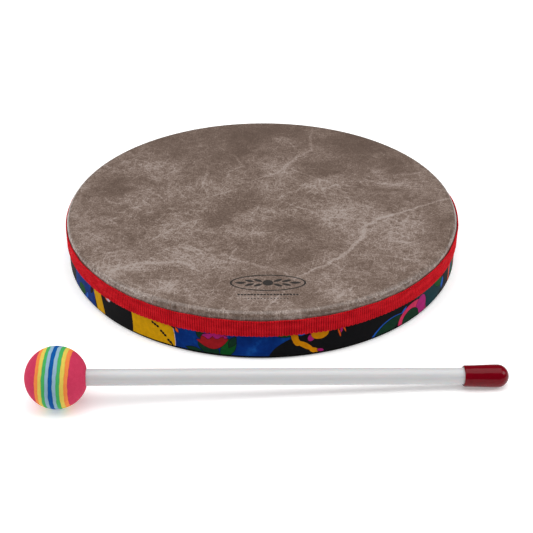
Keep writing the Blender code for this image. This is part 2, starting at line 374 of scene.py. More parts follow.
# Light and dark patches of the skin: centre and half size in mm, and how light, which is below 0 where dark
PATCHES = (
    (15, 57, 11, 16, 0.9),
    (42, 27, 18, 10, 0.9),
    (8, 18, 10, 14, 0.5),
    (58, -12, 20, 13, 1.0),
    (80, -34, 26, 20, 0.8),
    (88, 29, 17, 7, 0.8),
    (-50, -24, 13, 17, 0.8),
    (-9, -36, 9, 8, 0.9),
    (-46, -66, 20, 14, 0.9),
    (-20, -72, 12, 13, 0.9),
    (-78, -76, 18, 8, 0.9),
    (-57, -100, 17, 11, 0.9),
    (22, 92, 12, 14, 0.3),
    (-66, 44, 11, 14, 0.5),
    (46, -107, 14, 9, 0.7),
    (-110, -60, 18, 30, 0.5),
    (-16, 4, 14, 13, -1.0),
    (-30, -20, 9, 12, -0.9),
    (17, -26, 15, 11, -0.9),
    (38, -42, 12, 9, -0.5),
    (-73, -17, 14, 9, -0.9),
    (-102, 28, 13, 18, -1.0),
    (-15, 92, 9, 22, -1.1),
    (4, 109, 14, 12, -1.1),
    (72, 57, 28, 13, -0.9),
    (68, 94, 24, 22, -1.3),
    (44, 44, 12, 7, -0.7),
    (12, -67, 20, 12, -0.6),
    (112, -17, 8, 17, -0.9),
    (76, -92, 26, 12, -0.5),
    (-50, 32, 9, 8, -0.7),
    (-52, 95, 30, 20, -0.5),
    # This wide one makes the head darker towards its back.
    (0, 122, 150, 60, -0.6),
    (-30, 68, 12, 12, -0.6),
)


def strand_group():
    """A node group: how much a point lies in the straight stretch of a strand from A to B, whose half width
    runs from Wa to Wb."""
    inputs = {"P": "Vector", "A": "Vector", "B": "Vector", "Wa": "Float", "Wb": "Float"}
    g = Group("strand_stretch", inputs, ["Inside"])
    along = g.vector("SUBTRACT", g.given["B"], g.given["A"])
    from_a = g.vector("SUBTRACT", g.given["P"], g.given["A"])
    share = g.math("DIVIDE", g.vector("DOT_PRODUCT", from_a, along), g.vector("DOT_PRODUCT", along, along))
    share = g.math("MINIMUM", g.math("MAXIMUM", share, 0.0), 1.0)
    away = g.vector("LENGTH", g.vector("SUBTRACT", from_a, g.scaled(along, share)))
    half_width = g.plus(g.given["Wa"], g.times(g.minus(g.given["Wb"], g.given["Wa"]), share))
    g.put(g.results[0], g.step(g.math("DIVIDE", away, half_width), 1.5, 0.4))
    return g


def strand_mask(g, at):
    """How bright the long strands are at a point. Each is widest in its middle."""
    group = strand_group()
    mask = 0.0
    for half_width, brightness, points in STRANDS:
        last = len(points) - 1
        widths = [half_width * (0.35 + 0.65 * sin(pi * i / last)) for i in range(last + 1)]
        strand = 0.0
        for i in range(last):
            ends = (*points[i], 0.0), (*points[i + 1], 0.0)
            strand = g.math("MAXIMUM", strand, g.group(group, at, *ends, widths[i], widths[i + 1])[0])
        mask = g.math("MAXIMUM", mask, g.times(strand, brightness))
    return mask


def patch_group():
    """A node group: a soft spot of the given size and lightness round a centre."""
    inputs = {"P": "Vector", "Centre": "Vector", "Size": "Vector", "Lightness": "Float"}
    g = Group("soft_patch", inputs, ["Spot"])
    offset = g.vector("DIVIDE", g.vector("SUBTRACT", g.given["P"], g.given["Centre"]), g.given["Size"])
    spot = g.step(g.vector("LENGTH", offset), 1.6, 0.15)
    g.put(g.results[0], g.times(spot, g.given["Lightness"]))
    return g


def patch_tone(g, at):
    """How light the patches make a point, in all."""
    group = patch_group()
    total = 0.0
    for x, y, half_length, half_width, lightness in PATCHES:
        size = (half_length, half_width, 1.0)
        total = g.plus(total, g.group(group, at, (x, y, 0.0), size, lightness)[0])
    return total


def fibres(g, at, thickness):
    """Short fibres lying every way, in layers that each have one direction. A low thickness thins them."""
    total = 0.0
    number = 0
    for layers, length, width, strength in FIBRE_SETS:
        bent = g.spread(at, length * 0.35, length * 0.20, detail=0.0)
        for i in range(layers):
            shifted = g.vector("ADD", bent, (137.0 * number, -89.0 * number, 0.0))
            lie = g.place(shifted, radians(180.0 * i / layers + 23.0 * number), (length, width, 1.0))
            cells = g.node("TexVoronoi", {"Vector": lie, "Scale": 1.0}, voronoi_dimensions="2D")
            near = g.math("DIVIDE", cells.outputs["Distance"], thickness)
            brightness = g.node("SeparateColor", {0: cells.outputs["Color"]}).outputs[0]
            fibre = g.times(g.step(near, 1.0, 0.45), g.times(brightness, strength))
            total = g.plus(total, fibre)
            number += 1
    return total


def filaments(g, at, size, spread):
    """Thin branching lines, bright in their middle. They follow where a noise of the given size is at its
    mean, and spread is how far from it they reach."""
    ridge = g.math("ABSOLUTE", g.minus(g.noise(at, size, detail=3.0, roughness=0.6), 0.5))
    return g.step(ridge, spread, 0.0)


def skin_material():
    """The head: a brown-grey film full of pale random fibres, light and dark patches and long strands, with
    painted shade and highlights on its turned-down skirt.
    """
    g = Material("fibre_skin", Roughness=0.3, Specular_IOR_Level=0.5)
    at = g.flat_mm()
    drifted = g.spread(at, 18.0, 17.0, detail=3.0)
    clouds = g.minus(g.noise(drifted, 34.0, detail=5.0, roughness=0.66), 0.5)
    patches = patch_tone(g, g.spread(at, 17.0, 22.0, detail=3.0))
    light = g.plus(g.times(clouds, 4.2), g.times(patches, 0.9))
    strands = fibres(g, at, g.step(light, -1.3, 1.5, 0.12, 0.28))
    wisp_at = g.spread(g.spread(at, 13.0, 13.0), 3.5, 3.0)
    wisps = g.times(filaments(g, wisp_at, 8.0, 0.13), g.step(light, -1.2, 1.2, 0.4, 1.0))
    fine_at = g.spread(g.spread(at, 9.0, 9.0, detail=1.0), 2.0, 1.6, detail=1.0)
    fine_wisps = g.times(filaments(g, fine_at, 4.5, 0.10), g.step(light, -1.2, 1.2, 0.6, 1.0))
    curls = filaments(g, g.spread(at, 2.2, 2.4, detail=1.0), 2.0, 0.07)
    ragged = g.spread(g.spread(at, 16.0, 7.0), 2.4, 1.6)
    frayed = g.step(g.noise(at, 1.3, detail=2.0), 0.25, 0.6, 0.55, 1.0)
    long_strands = g.times(strand_mask(g, ragged), frayed)
    grain = g.minus(g.noise(at, 0.9, detail=2.0, roughness=0.75), 0.5)
    pits = g.step(g.noise(at, 1.5, detail=2.0, roughness=0.6), 0.44, 0.30)
    x, y, _ = g.node("SeparateXYZ", {0: at}).outputs
    radius = g.vector("LENGTH", at)
    rim_radius = 127.0
    around = g.times(g.math("ARCTAN2", y, x), rim_radius)
    rim_at = g.node("CombineXYZ", {0: around, 1: g.times(radius, 0.15)}).outputs[0]
    # Painted shade and highlights on the skirt turned down over the hoop: darker overall, with lighter and
    # darker streaks painted for its folds.
    painted_crease_shade = g.step(g.noise(rim_at, 3.2, detail=3.0, roughness=0.7), 0.3, 0.7, -1.0, 1.0)
    over_hoop = g.step(radius, 122.5, 126.0)
    skirt = g.times(over_hoop, g.minus(g.times(painted_crease_shade, 0.16), 0.06))
    tone = 0.21
    for part, share in (
        (light, 0.135),
        (strands, 0.21),
        (wisps, 0.22),
        (fine_wisps, 0.19),
        (curls, 0.04),
        (long_strands, 0.42),
        (grain, 1.6),
        (pits, -0.25),
        (skirt, 1.0),
    ):
        tone = g.plus(tone, g.times(part, share))
    colour = g.ramp(
        tone,
        (0.0, srgb(84, 68, 59)),
        (0.3, srgb(101, 84, 74)),
        (0.55, srgb(124, 107, 97)),
        (0.8, srgb(146, 131, 123)),
        (1.0, srgb(158, 145, 138)),
    )
    g.set("Base Color", colour)
    g.relief((grain, 0.00006))
    return g.material


def fibreboard_material():
    """Dark laminated paper board: plies show where a cut edge faces down or up."""
    g = Material("fibreboard", Roughness=0.8, Specular_IOR_Level=0.0)
    at = g.object_mm()
    x, y, z = g.node("SeparateXYZ", {0: at}).outputs
    radius = g.vector("LENGTH", g.node("CombineXYZ", {0: x, 1: y}).outputs[0])
    around = g.times(g.math("ARCTAN2", y, x), HOOP_RADIUS / MM)
    wall = g.node("CombineXYZ", {0: around, 1: radius, 2: z}).outputs[0]
    fibre = g.noise(g.place(wall, 0.0, (9.0, 0.5, 0.7)), 1.0, detail=5.0, roughness=0.65)
    speckle = g.noise(at, 0.5, detail=2.0)
    waver = g.times(g.noise(wall, 6.0, detail=2.0), 0.5)
    ply_pitch = 0.75
    plies = g.math("SINE", g.times(g.plus(radius, waver), 2 * pi / ply_pitch))
    facing = g.node("SeparateXYZ", {0: g.node("TexCoord").outputs["Normal"]}).outputs[2]
    edge = g.step(g.math("ABSOLUTE", facing), 0.75, 0.95)
    tone = g.plus(g.times(fibre, 0.7), g.times(speckle, 0.3))
    cut_plies = g.times(plies, edge)
    tone = g.plus(tone, g.times(cut_plies, 0.10))
    g.set("Base Color", g.ramp(tone, (0.3, srgb(8, 7, 7)), (0.5, srgb(17, 16, 15)), (0.75, srgb(40, 36, 33))))
    g.relief((g.times(cut_plies, 0.5), 0.00005), (fibre, 0.00025), (speckle, 0.00005))
    return g.material


BLUE, SKY_BLUE, BLACK = srgb(3, 43, 110), srgb(22, 78, 164), srgb(15, 15, 17)
YELLOW, AMBER, ORANGE, PALE = srgb(184, 137, 2), srgb(188, 120, 2), srgb(196, 76, 18), srgb(176, 166, 180)
RED, MAGENTA, PINK = srgb(138, 22, 27), srgb(152, 28, 100), srgb(184, 44, 82)
GREEN, DARK_GREEN, TEAL = srgb(12, 68, 26), srgb(16, 46, 30), srgb(12, 48, 54)

# How a printed shape narrows towards its ends: (fullness, roundness)
LEAF, OVAL, PANEL = (2.0, 1.0), (2.0, 0.5), (14.0, 1.0)


def dash(centre, turn, *knots):
    """A thin black dash with round knots on it, for the print."""
    stroke = (BLACK, LEAF, *centre, turn, 2.1, 0.3)
    return [stroke] + [(BLACK, OVAL, *knot, -30, 0.65, 0.6) for knot in knots]


# The print, bottom layer first: colour, form, mm across from the drum's front, mm up, turn in degrees, half
# length, half width, and how far it bends if it does. It repeats twice round the drum.
PRINT = (
    (BLACK, PANEL, -166, 9, 82, 20, 15.5),
    (GREEN, OVAL, -138, 6.2, 100, 3.6, 5.2),
    (SKY_BLUE, LEAF, -130.5, 5.0, 60, 3.6, 1.3, 0.03),
    (BLACK, LEAF, -122.5, 13.6, 65, 4.0, 1.3, 0.03),
    (PALE, PANEL, -71.8, 9, 7.5, 19.6, 20),
    (YELLOW, PANEL, -72.2, 9, 7.5, 19.6, 20),
    (BLACK, PANEL, -101, 9, 2, 18.4, 22),
    (YELLOW, PANEL, -114.4, 9.5, -75.5, 16, 4.1),
    (ORANGE, OVAL, -104.8, 16.0, -30, 2.4, 2.0),
    (PALE, OVAL, -104.0, 15.9, -30, 2.0, 1.6),
    *dash((-65.6, 14.0), -28, (-67.3, 14.8), (-65.6, 13.9), (-63.8, 13.1)),
    *dash((-60.2, 9.3), -42, (-61.6, 10.5), (-60.2, 9.3), (-58.8, 8.1)),
    *dash((-55.5, 4.2), -45, (-56.8, 5.4), (-55.4, 4.2)),
    (BLACK, LEAF, -53.2, 16.2, -28, 3.2, 0.9),
    (ORANGE, LEAF, -50.9, 14.3, -58, 1.9, 0.8),
    (DARK_GREEN, LEAF, -40.4, 3.2, -6, 5.0, 1.7, 0.01),
    (DARK_GREEN, OVAL, -36.4, 15.4, 100, 3.6, 2.2),
    (DARK_GREEN, OVAL, -31.2, 5.6, -38, 7.4, 4.2),
    (GREEN, LEAF, -19.4, 7.4, 62, 9.0, 3.9),
    (DARK_GREEN, LEAF, -16.9, 11.6, 62, 4.4, 1.9),
    (MAGENTA, OVAL, -31.6, 14.0, 8, 3.6, 1.9),
    (MAGENTA, OVAL, -27.4, 14.6, 0, 3.8, 2.2),
    (MAGENTA, OVAL, -23.2, 14.4, -6, 3.4, 1.8),
    (RED, LEAF, -28.4, 9.0, 9, 9.8, 3.4, 0.034),
    (RED, LEAF, -34.0, 11.2, 118, 3.0, 1.9),
    (RED, LEAF, -28.6, 11.2, 92, 3.0, 2.0),
    (RED, LEAF, -23.4, 11.9, 72, 3.0, 1.9),
    (BLACK, OVAL, 43, -3, 0, 40, 22),
    (BLACK, PANEL, 90, 9, 0, 62, 22),
    (GREEN, OVAL, 12.8, 17.0, -6, 4.6, 1.7),
    (SKY_BLUE, LEAF, 23.0, 16.4, 0, 2.4, 0.9),
    (AMBER, OVAL, 19.2, 14.8, -80, 4.2, 2.1),
    (AMBER, OVAL, 20.4, 11.4, -58, 3.2, 2.0),
    (AMBER, LEAF, 25.4, 8.3, -36, 7.6, 1.8),
    (AMBER, OVAL, 30.8, 4.2, -24, 2.9, 1.7),
    (MAGENTA, OVAL, 34.8, 3.6, -15, 2.0, 1.0),
    (MAGENTA, OVAL, 29.4, 13.6, 60, 3.0, 2.1),
    (AMBER, OVAL, 34.3, 15.8, 0, 5.4, 4.2),
    (ORANGE, LEAF, 46.4, 13.4, -72, 3.4, 0.6),
    (MAGENTA, LEAF, 47.8, 15.4, 84, 2.6, 0.8),
    (ORANGE, LEAF, 49.7, 15.2, -66, 2.6, 0.5),
    (SKY_BLUE, LEAF, 80.6, 6.2, 20, 13.4, 4.3),
    (SKY_BLUE, LEAF, 92.8, 9.6, 56, 5.4, 1.7),
    (DARK_GREEN, LEAF, 81.6, 5.6, 20, 12.6, 4.1),
    (TEAL, OVAL, 121, 11, -4, 17, 9.0),
    (GREEN, OVAL, 132, 14, -30, 6.5, 3.6),
    (PINK, OVAL, 102.6, 3.2, 10, 13.6, 10.8),
    (MAGENTA, OVAL, 110.6, 7.0, 82, 8.0, 5.2),
    (DARK_GREEN, OVAL, 100.6, 2.4, 6, 8.0, 7.4),
    (SKY_BLUE, LEAF, 138.6, 9.4, 80, 4.2, 1.8),
    (ORANGE, PANEL, 153, 9, 88, 14, 1.5),
    (GREEN, LEAF, 162, 8, 80, 12, 4.4, 0.01),
    (ORANGE, LEAF, 171, 9, 85, 12, 2.4),
    (YELLOW, LEAF, 184, 9, -50, 9, 3.0, 0.02),
    (RED, LEAF, 190, 11, 40, 7, 2.4, 0.02),
)
PRINT_OUTLINE_MM = 0.35
PRINT_EDGE_MM = 0.12


def shape_group():
    """A node group that draws one printed shape: how much of a point is in its fill, and how much of it is in
    its fill or outline."""
    names = ["Across", "Up", "Centre across", "Centre up", "Turn"]
    names += ["Length", "Width", "Fullness", "Roundness", "Bend"]
    g = Group("printed_shape", dict.fromkeys(names, "Float"), ["Fill", "Outline"])
    given = g.given
    dx = g.minus(given["Across"], given["Centre across"])
    dy = g.minus(given["Up"], given["Centre up"])
    turn_cos, turn_sin = g.math("COSINE", given["Turn"]), g.math("SINE", given["Turn"])
    x = g.plus(g.times(dx, turn_cos), g.times(dy, turn_sin))
    y = g.minus(g.times(dy, turn_cos), g.times(dx, turn_sin))
    y = g.minus(y, g.times(given["Bend"], g.times(x, x)))
    x = g.math("ABSOLUTE", x)
    share = g.math("POWER", g.math("DIVIDE", x, given["Length"]), given["Fullness"])
    narrowing = g.math("MAXIMUM", g.minus(1.0, share), 0.0)
    narrowing = g.math("POWER", narrowing, given["Roundness"])
    beyond_side = g.minus(g.math("ABSOLUTE", y), g.times(given["Width"], narrowing))
    beyond = g.math("MAXIMUM", beyond_side, g.minus(x, given["Length"]))
    g.put(g.results["Fill"], g.step(beyond, PRINT_EDGE_MM, -PRINT_EDGE_MM))
    low, high = PRINT_OUTLINE_MM + PRINT_EDGE_MM, PRINT_OUTLINE_MM - PRINT_EDGE_MM
    g.put(g.results["Outline"], g.step(beyond, low, high))
    return g


def print_material():
    """The laminated print round the hoop: leaves, petals, ovals and bands on a cloudy blue ground."""
    g = Material("leaf_print", Roughness=0.55, Specular_IOR_Level=0.02)
    at = g.object_mm()
    x, y, z = g.node("SeparateXYZ", {0: at}).outputs
    from_front = g.times(g.math("ARCTAN2", x, g.times(y, -1.0)), WRAP_RADIUS / MM)
    repeat = pi * WRAP_RADIUS / MM
    values = {0: from_front, 1: -repeat / 2, 2: repeat / 2}
    across = g.node("Math", values, operation="WRAP").outputs[0]
    ripple = g.times(g.minus(g.noise(at, 5.0), 0.5), 0.7)
    across = g.plus(across, ripple)
    cloud = g.noise(at, 9.0, detail=4.0, roughness=0.6)
    colour = g.ramp(cloud, (0.35, srgb(2, 36, 98)), (0.55, BLUE), (0.75, srgb(14, 66, 136)))
    group = shape_group()
    for ink, shapes in groupby(PRINT, key=lambda shape: shape[0]):
        fill, outline = 0.0, 0.0
        for _, (fullness, roundness), centre, up, turn, length, width, *bend in shapes:
            form = (length, width, fullness, roundness, *(bend or [0.0]))
            shape = g.group(group, across, z, centre, up, radians(turn), *form)
            fill = g.math("MAXIMUM", fill, shape[0])
            outline = g.math("MAXIMUM", outline, shape[1])
        colour = g.mix(outline, colour, BLACK)
        colour = g.mix(fill, colour, ink)
    wash = g.step(g.noise(at, 2.5, detail=3.0), 0.3, 0.7, 0.88, 1.06)
    grey = g.node("CombineColor", {0: wash, 1: wash, 2: wash}).outputs[0]
    g.set("Base Color", g.mix(1.0, colour, grey, "MULTIPLY"))
    g.relief((g.noise(at, 1.6, detail=2.0), 0.00003))
    return g.material


def tape_material():
    """Red ribbed tape. The ribs are in the mesh, and the thread that wraps each rib is here, as is painted
    shade in the grooves between them.
    """
    g = Material("red_woven_tape", Roughness=0.75, Specular_IOR_Level=0.04)
    at = g.flat_mm()
    x, y, _ = g.node("SeparateXYZ", {0: at}).outputs
    shade = g.noise(g.place(at, 0.0, (9.0, 3.0, 1.0)), 1.0, detail=4.0)
    thread_pitch = 0.32
    thread = g.math("SINE", g.times(y, 2 * pi / thread_pitch))
    fuzz = g.noise(g.place(at, 0.0, (0.25, 0.8, 1.0)), 1.0, detail=3.0)
    tone = g.plus(g.times(shade, 0.5), g.times(fuzz, 0.5))
    tone = g.plus(tone, g.times(thread, 0.03))
    # Painted shade: the tone is darker in the grooves between the ribs.
    rib_crest_for_groove_shade = g.math("ABSOLUTE", g.math("SINE", g.times(x, pi / (RIB_PITCH / MM))))
    tone = g.plus(tone, g.step(rib_crest_for_groove_shade, 0.0, 0.75, -0.2, 0.05))
    dark, middle, light = srgb(122, 2, 12), srgb(190, 15, 28), srgb(220, 36, 46)
    g.set("Base Color", g.ramp(tone, (0.2, dark), (0.5, middle), (0.72, light)))
    g.relief((g.plus(thread, 1.0), 0.00003), (fuzz, 0.00012))
    return g.material


def foam_material(name, colour, shadow):
    """Matt closed-cell foam with a cut, faintly pitted face."""
    g = Material(name, Roughness=0.85, Specular_IOR_Level=0.12)
    at = g.object_mm()
    pores = g.noise(at, 0.33, detail=2.0, roughness=0.6)
    lumps = g.noise(at, 2.2, detail=3.0)
    tone = g.plus(g.times(pores, 0.6), g.times(lumps, 0.4))
    # Painted shade: the colour goes towards the shadow colour where the pores and lumps dip lowest in the
    # bump.
    g.set("Base Color", g.ramp(tone, (0.3, shadow), (0.6, colour)))
    g.relief((lumps, 0.0002), (pores, 0.00012))
    return g.material


def rod_material():
    """Satin white extruded plastic, with faint draw lines along it."""
    g = Material("white_rod", Subsurface_Weight=0.15, Subsurface_Scale=0.002)
    at = g.object_mm()
    along = g.vector("DOT_PRODUCT", at, tuple(ROD_AXIS))
    drawn = g.vector("SUBTRACT", at, g.scaled(tuple(ROD_AXIS), g.times(along, 0.99)))
    lines = g.noise(drawn, 0.5, detail=2.0)
    g.set("Base Color", g.ramp(lines, (0.3, srgb(191, 191, 192)), (0.7, srgb(197, 197, 198))))
    g.set("Roughness", g.step(g.noise(drawn, 3.0, detail=2.0), 0.3, 0.7, 0.29, 0.34))
    g.relief((lines, 0.00002))
    return g.material


def vinyl_material():
    """Glossy dark red dipped vinyl."""
    g = Material("red_vinyl", Roughness=0.12, Specular_IOR_Level=0.14)
    at = g.object_mm()
    depth = g.noise(at, 4.0, detail=2.0)
    g.set("Base Color", g.ramp(depth, (0.35, srgb(103, 0, 13)), (0.65, srgb(110, 0, 16))))
    g.relief((g.noise(at, 5.0, detail=1.0), 0.00008))
    return g.material


def glue_material():
    """Set hot-melt adhesive, cloudy amber."""
    g = Material("set_glue", Roughness=0.3, Subsurface_Weight=0.3, Subsurface_Scale=0.001)
    at = g.object_mm()
    cloud = g.noise(at, 3.0, detail=3.0)
    g.set("Base Color", g.ramp(cloud, (0.3, srgb(178, 150, 96)), (0.7, srgb(206, 184, 134))))
    g.relief((g.noise(at, 1.2, detail=2.0), 0.0002))
    return g.material


def ink_material():
    """Dark brown printing ink, worn a little lighter in spots."""
    g = Material("mark_ink", Roughness=0.5)
    wear = g.noise(g.object_mm(), 0.5, detail=3.0)
    g.set("Base Color", g.ramp(wear, (0.35, srgb(26, 22, 20)), (0.7, srgb(44, 37, 33))))
    return g.material


# ---------------------------------------------------------------- the drum


def make_hoop(material):
    """The hoop: a bearing edge rounded outside and bevelled inside, and a foot with small roundings."""
    inner = HOOP_RADIUS - HOOP_WALL
    crest = HOOP_RADIUS - HOOP_CREST_ROUND
    crest_inner = crest - HOOP_CREST_FLAT
    foot, foot_inside = HOOP_FOOT_ROUND, HOOP_FOOT_ROUND_INSIDE
    profile = arc((crest, HOOP_HEIGHT - HOOP_CREST_ROUND), HOOP_CREST_ROUND, 90, 0, 8)
    profile += [(HOOP_RADIUS, h) for h in np.linspace(HOOP_HEIGHT - 0.005, 0.0035, 8)]
    profile += arc((HOOP_RADIUS - foot, foot), foot, 0, -90, 10)
    profile += arc((inner + foot_inside, foot_inside), foot_inside, -90, -180, 5)
    bevel = HOOP_HEIGHT - (crest_inner - inner)
    profile += [(inner, h) for h in np.linspace(0.002, bevel, 12)]
    profile += [(crest_inner, HOOP_HEIGHT)]
    obj = grid_object("hoop", turned_grid(profile, sweep(480)), DRUM, ring=True)
    finish_piece(obj, material, "drum", "shell_hoop")


def make_wrap(material):
    """The printed sheet, with a slit where its ends meet."""
    inner = WRAP_RADIUS - WRAP_THICKNESS
    heights = np.linspace(wrap_high.z, wrap_low.z, 12)
    profile = [(WRAP_RADIUS, h) for h in heights] + [(inner, h) for h in heights[::-1]]
    angles = sweep(720, closed=False, start=WRAP_SEAM / 2, end=2 * pi - WRAP_SEAM / 2)
    obj = grid_object("printed_sheet", turned_grid(profile, angles), DRUM, closed=False, ring=True)
    finish_piece(obj, material, "drum", "printed_wrap")


# Where the tape's upper edge stands off the head, and where the head's skirt is drawn in or bulges: degrees
# from the drum's front towards its right, half width in degrees, and mm outwards
TAPE_FLARES = (
    (68, 5, 0.2),
    (82, 5, 0.35),
    (93, 7, 0.6),
    (106, 4, 0.25),
    (114, 4, 0.45),
    (-98, 7, 0.2),
    (-58, 5, 0.15),
)
SKIRT_DENTS = (
    (92, 7, -0.5),
    (79, 4, 0.12),
    (70, 4, -0.25),
    (61, 5, 0.12),
    (52, 4, -0.2),
    (112, 3, -0.3),
    (-46, 5, -0.15),
    (-63, 6, 0.12),
    (-82, 6, -0.2),
)


def edge_bumps(angles, bumps):
    """How far an edge stands out round the rim for a list of bumps."""
    from_front = (np.degrees(angles + SEAM_DIRECTION) + 90.0 + 180.0) % 360.0 - 180.0
    offset = np.zeros_like(angles)
    for centre, half_width, out in bumps:
        offset += out * MM * np.exp(-(((from_front - centre) / half_width) ** 2))
    return offset


def skirt_pleats(angles, random):
    """How far the film's turned-down edge stands in or out round the rim: small creases and slow waves."""
    offset = waves(angles, (11, 19, 34, 57), 0.00007, random) + edge_bumps(angles, SKIRT_DENTS)
    at = 0.0
    while at < 2 * pi:
        width = random.uniform(0.0005, 0.0011) / SKIRT_RADIUS
        depth = random.uniform(0.00008, 0.00042)
        gap = (angles - at + pi) % (2 * pi) - pi
        offset -= depth * np.exp(-((gap / width) ** 2))
        offset += 0.4 * depth * np.exp(-(((np.abs(gap) - 2 * width) / width) ** 2))
        at += random.uniform(0.0025, 0.011) / SKIRT_RADIUS
    return offset


def make_head(material):
    """The film, flat on top and turned down over the rim. Its flat coordinates are those of the disc that it
    was before."""
    random = np.random.default_rng(11)
    angles = sweep(1440)
    top, bottom = film_high.z, film_low.z
    centre = (SKIRT_RADIUS - HEAD_EDGE_ROUND, top - HEAD_EDGE_ROUND)
    flat_radii = (4, 14, 28, 42, 56, 70, 82, 93, 102, 109, 114, 118, 121)
    outer = [(r * MM, top) for r in flat_radii]
    outer += arc(centre, HEAD_EDGE_ROUND, 90, 0, 12)
    outer += [(SKIRT_RADIUS, h) for h in np.linspace(centre[1] - 0.0005, bottom, 9)]
    inside = SKIRT_RADIUS - FILM
    inner = [(inside, h) for h in np.linspace(bottom, centre[1] - 0.001, 4)]
    inner += arc(centre, HEAD_EDGE_ROUND - FILM, 0, 90, 8)
    inner += [(r * MM, top - FILM) for r in flat_radii[::-3]]
    profile = np.array(outer + inner)
    points = turned_grid(profile, angles)
    pleats = skirt_pleats(angles, random)
    height = profile[:, 1]
    reach = smooth(top - 0.0002, top - 0.0030, height) * smooth(bottom + 0.006, bottom + 0.008, height)
    push = reach[:, None] * pleats
    points[..., 0] += push * np.cos(angles)
    points[..., 1] += push * np.sin(angles)
    steps = np.hypot(*np.diff(profile, axis=0).T)
    along = profile[0, 0] + np.concatenate([[0.0], np.cumsum(steps)])
    turn = len(outer)
    along[turn:] = 2 * along[turn] - along[turn:]
    world = angles + SEAM_DIRECTION
    uv = np.stack([along[:, None] * np.cos(world), along[:, None] * np.sin(world)], axis=-1)
    obj = grid_object("drumhead", points, DRUM, poles=(True, True), uv=uv)
    finish_piece(obj, material, "drum", "head_film")


RIB_PITCH = 0.00145
RIB_COLUMNS = 6


def make_tape(material):
    """The woven tape: ribs across its width, a scalloped lower edge, and its end lapped over its start."""
    random = np.random.default_rng(5)
    width = tape_high.z - tape_low.z
    ribs = round(2 * pi * (TAPE_RADIUS + TAPE_THICKNESS) / RIB_PITCH)
    columns = round(ribs * RIB_COLUMNS * (1 + TAPE_LAP / (2 * pi)))
    angles = sweep(columns + 1, closed=False, start=-TAPE_LAP / 2, end=2 * pi + TAPE_LAP / 2)
    rib_phase = np.arange(columns + 1) / RIB_COLUMNS
    swell = np.abs(np.sin(pi * rib_phase)) ** 0.7
    lobe = np.abs(np.sin(pi * rib_phase / 2))
    flare = edge_bumps(angles, TAPE_FLARES) + waves(angles, (23, 37, 52), 0.00006, random)
    rise = np.clip((angles - (2 * pi - TAPE_LAP / 2 - TAPE_RAMP)) / TAPE_RAMP, 0.0, 1.0)
    base = TAPE_RADIUS + (TAPE_THICKNESS + THIN_GAP) * rise + waves(angles, (7, 13, 29), 0.00004, random)
    top = tape_high.z - 0.0002 * (1 - swell) + waves(angles, (9, 17, 31, 46), 0.00018, random)
    bottom = tape_low.z + 0.0006 * (1 - lobe) + waves(angles, (8, 15, 26, 41), 0.00014, random)
    bead = 0.1 * TAPE_THICKNESS
    # Across the tape from its top edge: (share of the width, depth from its face as a share of the thickness)
    section = [(0.0, 0.5), (0.006, 0.2)] + [(s, 0.0) for s in np.linspace(0.025, 0.975, 13)]
    section += [(0.994, 0.2), (1.0, 0.5), (0.994, 0.8), (0.975, 1.0), (0.5, 1.0), (0.025, 1.0), (0.006, 0.8)]
    rows = []
    for share, depth in section:
        height = top + (bottom - top) * share
        relief = 0.00034 * (swell - 1.0) * (1.0 - depth) ** 2
        edge_bead = bead * np.exp(-(((share - 0.97) / 0.03) ** 2)) * (1.0 - depth)
        radius = base + flare * (1.0 - share) ** 2 + TAPE_THICKNESS * (1.0 - depth) + relief + edge_bead
        rows.append(ring_points(radius, height, angles))
    points = np.array(rows)
    flat_u = np.broadcast_to(rib_phase * RIB_PITCH, points.shape[:2])
    flat_v = np.broadcast_to(np.array([s for s, _ in section])[:, None] * width, points.shape[:2])
    uv = np.stack([flat_u, flat_v], axis=-1)
    obj = grid_object("woven_tape", points, DRUM, closed=False, ring=True, uv=uv, sharp=60.0)
    finish_piece(obj, material, "drum", "rim_tape")


def flat_shape(outline, inner=None):
    """Vertices and faces of a filled outline, or of the ring between two outlines with as many points."""
    count = len(outline)
    if inner is None:
        return list(outline), [list(range(count))]
    ring = [[i, (i + 1) % count, count + (i + 1) % count, count + i] for i in range(count)]
    return list(outline) + list(inner), ring


def oval(x, y, half_length, half_width, turn=0.0, steps=64, power=1.0):
    """Points of an oval, which a power above 1 makes pointed like a leaf."""
    points = []
    for i in range(steps):
        t = 2 * pi * i / steps
        a, b = half_length * cos(t), half_width * sin(t) * abs(sin(t)) ** (power - 1.0)
        points.append((x + a * cos(turn) - b * sin(turn), y + a * sin(turn) + b * cos(turn)))
    return points


def make_mark(material):
    """A printed mark near the head's front edge, in mm: an oval ring round a sprig of leaves, over two rows
    of dots."""
    x, y = 3.8, -94.5
    dot_pitch = 1.9
    shapes = [flat_shape(oval(x, y, 22.6, 8.8, steps=96), oval(x, y, 21.5, 7.8, steps=96))]
    shapes.append(flat_shape(oval(x, y, 3.1, 3.1)))
    for side in (-1, 1):
        for reach, lift, turn in ((5.9, 2.5, 28), (5.9, -2.5, -28), (11.0, 2.0, 20), (11.0, -2.0, -20)):
            leaf = oval(x + side * reach, y + lift, 3.0, 1.15, side * radians(turn), 32, 1.6)
            shapes.append(flat_shape(leaf))
        shapes.append(flat_shape(oval(x + side * 16.3, y, 3.3, 1.2, 0.0, 32, 1.6)))
    for row_y, count, size in ((-107.2, 19, 0.80), (-111.2, 13, 0.50)):
        for i in range(count):
            across = x + (i - (count - 1) / 2) * dot_pitch
            shapes.append(flat_shape(oval(across, row_y, size, size, steps=12)))
    vertices, faces = [], []
    for points, shape_faces in shapes:
        faces += [[len(vertices) + i for i in face] for face in shape_faces]
        vertices += [(px * MM, py * MM, 0.0) for px, py in points]
    mesh = bpy.data.meshes.new("head_mark")
    mesh.from_pydata(vertices, [], faces)
    obj = bpy.data.objects.new("head_mark", mesh)
    obj.location = (DRUM_CENTRE.x, DRUM_CENTRE.y, film_high.z + 0.00003)
    bpy.context.scene.collection.objects.link(obj)
    finish_piece(obj, material, "drum")
